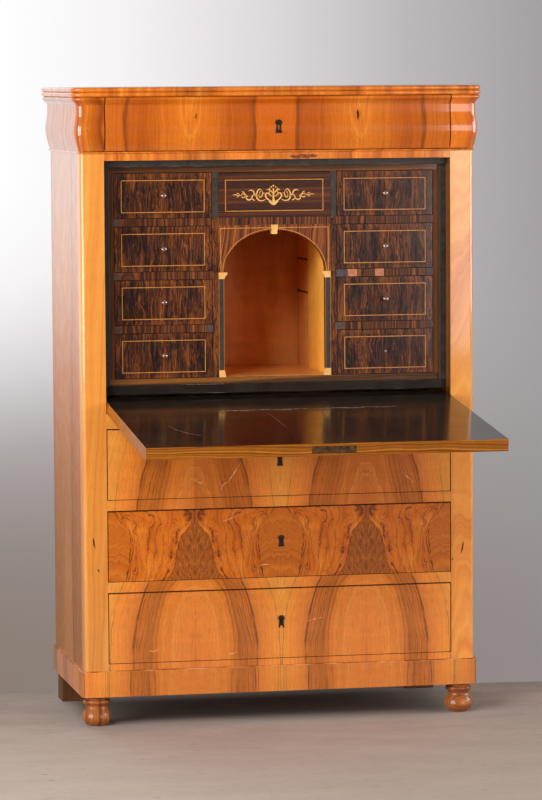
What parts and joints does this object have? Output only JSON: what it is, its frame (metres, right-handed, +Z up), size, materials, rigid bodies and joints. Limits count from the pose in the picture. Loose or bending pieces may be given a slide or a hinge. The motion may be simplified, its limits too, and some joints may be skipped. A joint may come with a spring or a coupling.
{
  "type": "fall front secretaire",
  "caption": "Tall writing cabinet on turned feet with a drop front that opens as a writing surface, small drawers round an arched niche, long drawers and a hidden frieze drawer.",
  "frame": {"origin": "on the floor, under the middle of the whole object with its drop front open", "axes": "+Z up, the front faces -Y, +X to the right as seen from the front"},
  "size_m": [1.013, 1.0362, 1.544],
  "materials": {
    "walnut": "French-polished walnut veneer",
    "pale_walnut": "French-polished walnut, paler",
    "side_walnut": "polished walnut veneer, faded",
    "ebonised": "black polished wood",
    "rosewood": "French-polished rosewood veneer",
    "pine": "plain softwood",
    "oak": "plain waxed oak",
    "dark_oak": "rough dark wood",
    "brass": "dull brass",
    "iron": "dark iron",
    "bone": "polished bone"
  },
  "bodies": {
    "carcass": {"arch_panel": "rosewood", "astragal_board": "walnut", "back_panel": "pine", "bottom_board": "walnut", "case_ceiling": "rosewood", "case_floor": "rosewood", "centre_shelf": "rosewood", "cornice_top": "walnut", "deck_board": "ebonised", "dust_board_ab": "walnut", "dust_board_bc": "walnut", "fall_rail": "walnut", "foot_front_left": "walnut", "foot_front_right": "walnut", "foot_rear_left": "dark_oak", "foot_rear_right": "dark_oak", "frieze_block_left": "walnut", "frieze_block_right": "walnut", "head_board": "ebonised", "hinge_plate_left": "brass", "hinge_plate_right": "brass", "nest_left": "rosewood", "nest_right": "rosewood", "plinth": "walnut", "side_panel_left": "side_walnut", "side_panel_right": "side_walnut", "stile_left": "pale_walnut", "stile_right": "pale_walnut", "well_strip_left": "ebonised", "well_strip_right": "ebonised"},
    "fall_front": {"flap_board": "walnut", "flap_lock": "iron", "flap_pivot_left": "brass", "flap_pivot_right": "brass"},
    "lock_bolt": {"flap_lock_bolt": "iron"},
    "frieze_drawer": {"frieze_drawer_front": "walnut", "frieze_drawer_box": "oak"},
    "drawer_a": {"drawer_a_front": "walnut", "drawer_a_box": "oak"},
    "drawer_b": {"drawer_b_front": "walnut", "drawer_b_box": "oak"},
    "drawer_c": {"drawer_c_front": "walnut", "drawer_c_box": "oak"},
    "small_drawer_left_1": {"inner_drawer_left_1": "rosewood", "knob_left_1": "bone"},
    "small_drawer_left_2": {"inner_drawer_left_2": "rosewood", "knob_left_2": "bone"},
    "small_drawer_left_3": {"inner_drawer_left_3": "rosewood", "knob_left_3": "bone"},
    "small_drawer_left_4": {"inner_drawer_left_4": "rosewood", "knob_left_4": "bone"},
    "small_drawer_right_1": {"inner_drawer_right_1": "rosewood", "knob_right_1": "bone"},
    "small_drawer_right_2": {"inner_drawer_right_2": "rosewood", "knob_right_2": "bone"},
    "small_drawer_right_3": {"inner_drawer_right_3": "rosewood", "knob_right_3": "bone"},
    "small_drawer_right_4": {"inner_drawer_right_4": "rosewood", "knob_right_4": "bone"},
    "centre_drawer": {"inner_drawer_centre": "rosewood"}
  },
  "joints": [
    {"name": "fall_front_hinge", "type": "hinge", "parent": "carcass", "child": "fall_front", "pos_m": [0, 0.0601, 0.78645], "axis": [1, 0, 0], "range_deg": [-96.2, 0]},
    {"name": "lock_bolt_slide", "type": "slide", "parent": "fall_front", "child": "lock_bolt", "axis": [0, -0.9942, -0.108], "range_m": [0, 0.008]},
    {"name": "frieze_drawer_slide", "type": "slide", "parent": "carcass", "child": "frieze_drawer", "axis": [0, -1, 0], "range_m": [0, 0.3]},
    {"name": "drawer_a_slide", "type": "slide", "parent": "carcass", "child": "drawer_a", "axis": [0, -1, 0], "range_m": [0, 0.3]},
    {"name": "drawer_b_slide", "type": "slide", "parent": "carcass", "child": "drawer_b", "axis": [0, -1, 0], "range_m": [0, 0.33]},
    {"name": "drawer_c_slide", "type": "slide", "parent": "carcass", "child": "drawer_c", "axis": [0, -1, 0], "range_m": [0, 0.33]},
    {"name": "small_drawer_left_1_slide", "type": "slide", "parent": "carcass", "child": "small_drawer_left_1", "axis": [0, -1, 0], "range_m": [0, 0.26]},
    {"name": "small_drawer_left_2_slide", "type": "slide", "parent": "carcass", "child": "small_drawer_left_2", "axis": [0, -1, 0], "range_m": [0, 0.26]},
    {"name": "small_drawer_left_3_slide", "type": "slide", "parent": "carcass", "child": "small_drawer_left_3", "axis": [0, -1, 0], "range_m": [0, 0.26]},
    {"name": "small_drawer_left_4_slide", "type": "slide", "parent": "carcass", "child": "small_drawer_left_4", "axis": [0, -1, 0], "range_m": [0, 0.26]},
    {"name": "small_drawer_right_1_slide", "type": "slide", "parent": "carcass", "child": "small_drawer_right_1", "axis": [0, -1, 0], "range_m": [0, 0.26]},
    {"name": "small_drawer_right_2_slide", "type": "slide", "parent": "carcass", "child": "small_drawer_right_2", "axis": [0, -1, 0], "range_m": [0, 0.26]},
    {"name": "small_drawer_right_3_slide", "type": "slide", "parent": "carcass", "child": "small_drawer_right_3", "axis": [0, -1, 0], "range_m": [0, 0.26]},
    {"name": "small_drawer_right_4_slide", "type": "slide", "parent": "carcass", "child": "small_drawer_right_4", "axis": [0, -1, 0], "range_m": [0, 0.26]},
    {"name": "centre_drawer_slide", "type": "slide", "parent": "carcass", "child": "centre_drawer", "axis": [0, -1, 0], "range_m": [0, 0.26]}
  ]
}
